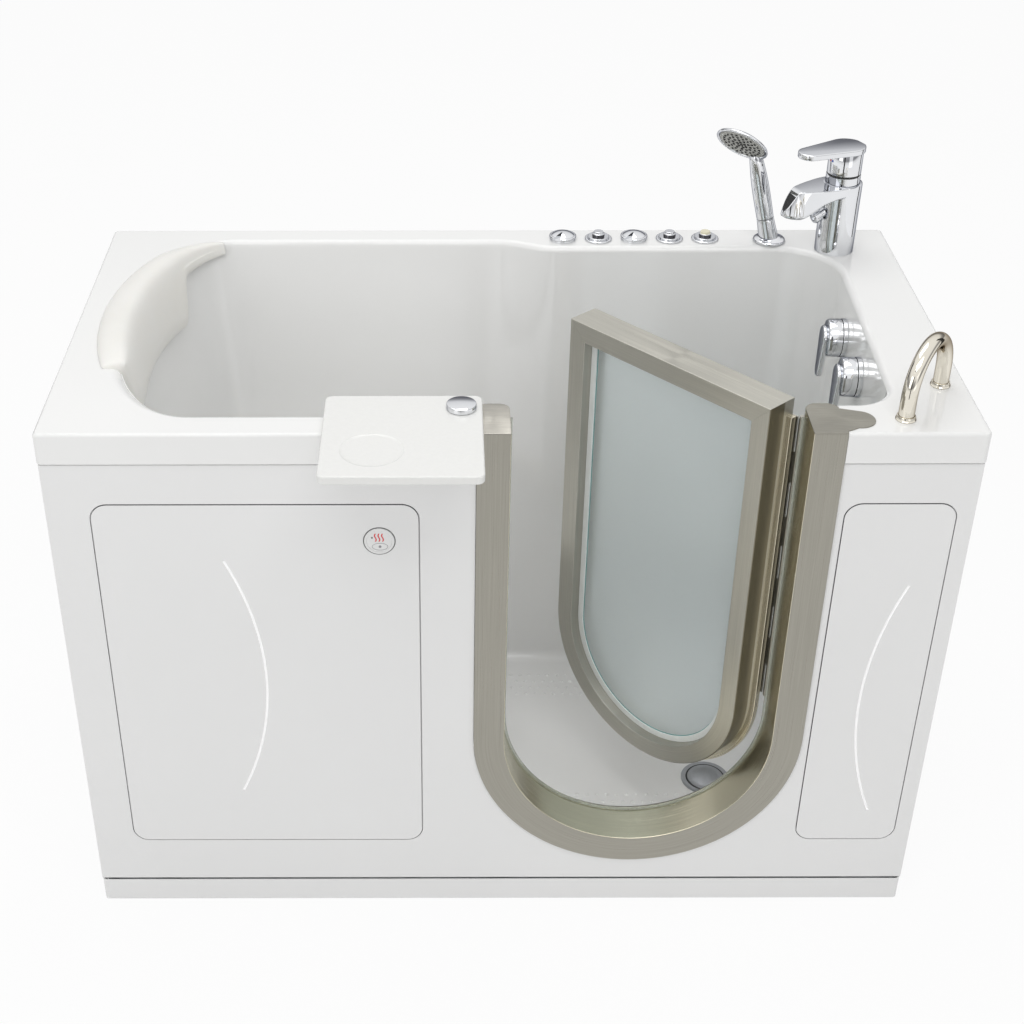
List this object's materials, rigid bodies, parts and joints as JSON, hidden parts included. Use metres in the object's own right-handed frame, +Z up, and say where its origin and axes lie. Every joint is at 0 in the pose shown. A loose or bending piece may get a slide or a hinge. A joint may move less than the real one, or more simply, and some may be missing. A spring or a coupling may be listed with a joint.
{
  "type": "walk-in bathtub with door",
  "caption": "Tall seated bathtub with a stainless-framed frosted glass door that swings inward, deck taps, hand shower, grab bar, swivel tray and headrest.",
  "frame": {"origin": "on the floor, under the middle of the bounding box of the whole row with its tray", "axes": "+X along the tub to the tap end, +Y from the front skirt to the back edge, +Z up"},
  "size_m": [1.524, 0.973, 1.2683],
  "materials": {
    "white_acrylic": "gloss",
    "white_panel": "satin gloss",
    "brushed_stainless": "brushed",
    "chrome": "polished",
    "satin_steel": "satin",
    "warm_nickel": "polished",
    "frosted_glass": "frosted",
    "white_strip": "matte",
    "door_rubber": "matte",
    "clear_seal": "translucent",
    "pillow_skin": "soft satin",
    "frame_steel": "zinc coated",
    "foot_plastic": "matte",
    "shelf_metal": "satin",
    "blower_plastic": "matte",
    "box_plastic": "matte",
    "tray_plastic": "gloss",
    "brass": "cast",
    "pipe_plastic": "matte",
    "nozzle_rubber": "matte",
    "pale_cap": "gloss",
    "drain_steel": "brushed"
  },
  "bodies": {
    "tub": {"tub_shell": "white_acrylic", "front_skirt": "white_panel", "kick_rail": "white_panel", "left_end_panel": "white_panel", "right_end_panel": "white_panel", "base_frame": "frame_steel", "frame_posts": "frame_steel", "deck_rails": "frame_steel", "seat_frame": "frame_steel", "levelling_feet": "foot_plastic", "equipment_shelf": "shelf_metal", "air_blower": "blower_plastic", "control_box": "box_plastic", "door_jamb": "brushed_stainless", "jamb_cap_left": "brushed_stainless", "jamb_cap_right": "brushed_stainless", "jamb_seal": "clear_seal", "hinge_leaf_jamb": "satin_steel", "hinge_pin": "satin_steel", "tray_post": "satin_steel", "control_flanges": "chrome", "deck_valves": "brass", "shower_holder": "chrome", "tap_body": "chrome", "tap_tails": "brass", "grab_bar": "warm_nickel", "grab_bar_flanges": "warm_nickel", "lever_escutcheons": "chrome", "drain_flanges": "drain_steel", "waste_pipe": "pipe_plastic"},
    "door": {"door_front_frame": "brushed_stainless", "door_rear_frame": "brushed_stainless", "door_gasket": "door_rubber", "door_glass": "frosted_glass", "glazing_strip": "white_strip", "hinge_leaf_door": "satin_steel"},
    "tray": {"tray": "tray_plastic", "tray_knob": "chrome"},
    "left_panel": {"left_access_panel": "white_panel", "heat_button_bezel": "satin_steel"},
    "heat_button": {"heat_button": "white_panel"},
    "right_panel": {"right_access_panel": "white_panel"},
    "pillow": {"neck_pillow": "pillow_skin"},
    "knob_1": {"diverter_knob_1": "chrome"},
    "knob_2": {"diverter_knob_2": "chrome"},
    "button_1": {"push_button_1": "chrome"},
    "button_2": {"push_button_2": "chrome"},
    "button_3": {"push_button_3": "pale_cap"},
    "hand_shower": {"hand_shower": "chrome", "shower_face": "nozzle_rubber"},
    "tap_hub": {"tap_hub": "chrome"},
    "tap_lever": {"tap_lever": "chrome"},
    "tap_diverter": {"tap_diverter": "chrome"},
    "lever_front": {"drain_lever_front": "chrome"},
    "lever_back": {"drain_lever_back": "chrome"},
    "plug_front": {"drain_plug_front": "drain_steel"},
    "plug_back": {"drain_plug_back": "drain_steel"}
  },
  "joints": [
    {"name": "door_hinge", "type": "hinge", "parent": "tub", "child": "door", "pos_m": [0.483, -0.222, 0.7], "axis": [0, 0, 1], "range_deg": [-47, 48]},
    {"name": "tray_swivel", "type": "hinge", "parent": "tub", "child": "tray", "pos_m": [-0.08, -0.2765, 1.038], "axis": [0, 0, 1], "range_deg": [-95, 95]},
    {"name": "left_panel_pull", "type": "slide", "parent": "tub", "child": "left_panel", "axis": [0, -1, 0], "range_m": [0, 0.3]},
    {"name": "heat_button_press", "type": "slide", "parent": "left_panel", "child": "heat_button", "axis": [0, 1, 0], "range_m": [0, 0.0015], "stiffness_N_per_m": 800, "springref_m": -0.002},
    {"name": "right_panel_pull", "type": "slide", "parent": "tub", "child": "right_panel", "axis": [0, -1, 0], "range_m": [0, 0.3]},
    {"name": "pillow_lift", "type": "slide", "parent": "tub", "child": "pillow", "axis": [0, 0, 1], "range_m": [0, 0.2]},
    {"name": "knob_1_turn", "type": "hinge", "parent": "tub", "child": "knob_1", "pos_m": [0.126, 0.4385, 1.035], "axis": [0, 0, 1], "range_deg": [-90, 90]},
    {"name": "knob_2_turn", "type": "hinge", "parent": "tub", "child": "knob_2", "pos_m": [0.2655, 0.4385, 1.035], "axis": [0, 0, 1], "range_deg": [-90, 90]},
    {"name": "button_1_press", "type": "slide", "parent": "tub", "child": "button_1", "axis": [0, 0, -1], "range_m": [0, 0.003], "stiffness_N_per_m": 800, "springref_m": -0.003},
    {"name": "button_2_press", "type": "slide", "parent": "tub", "child": "button_2", "axis": [0, 0, -1], "range_m": [0, 0.003], "stiffness_N_per_m": 800, "springref_m": -0.003},
    {"name": "button_3_press", "type": "slide", "parent": "tub", "child": "button_3", "axis": [0, 0, -1], "range_m": [0, 0.003], "stiffness_N_per_m": 800, "springref_m": -0.003},
    {"name": "hand_shower_lift", "type": "slide", "parent": "tub", "child": "hand_shower", "axis": [-0.2402, 0, 0.9707], "range_m": [0, 0.1]},
    {"name": "tap_hub_turn", "type": "hinge", "parent": "tub", "child": "tap_hub", "pos_m": [0.648, 0.3895, 1.197], "axis": [0, 0, 1], "range_deg": [-45, 45]},
    {"name": "tap_lever_lift", "type": "hinge", "parent": "tap_hub", "child": "tap_lever", "pos_m": [0.67791, 0.40345, 1.2261], "axis": [-0.4226, 0.9063, 0], "range_deg": [0, 18]},
    {"name": "tap_diverter_turn", "type": "hinge", "parent": "tub", "child": "tap_diverter", "pos_m": [0.62081, 0.37682, 1.111], "axis": [-0.8403, -0.3918, -0.3746], "range_deg": [-90, 90]},
    {"name": "lever_front_turn", "type": "hinge", "parent": "tub", "child": "lever_front", "pos_m": [0.63266, 0.0235, 0.941], "axis": [0.999, -0.034, -0.0286], "range_deg": [0, 75]},
    {"name": "lever_back_turn", "type": "hinge", "parent": "tub", "child": "lever_back", "pos_m": [0.63794, 0.1785, 0.941], "axis": [0.999, -0.034, -0.0286], "range_deg": [0, 75]},
    {"name": "plug_front_lift", "type": "slide", "parent": "tub", "child": "plug_front", "axis": [0, 0, 1], "range_m": [0, 0.01]},
    {"name": "plug_back_lift", "type": "slide", "parent": "tub", "child": "plug_back", "axis": [0, 0, 1], "range_m": [0, 0.01]}
  ],
  "couplings": [
    {"joint": "plug_front_lift", "follows": "lever_front_turn", "m_per_rad": 0.00764},
    {"joint": "plug_back_lift", "follows": "lever_back_turn", "m_per_rad": 0.00764}
  ]
}
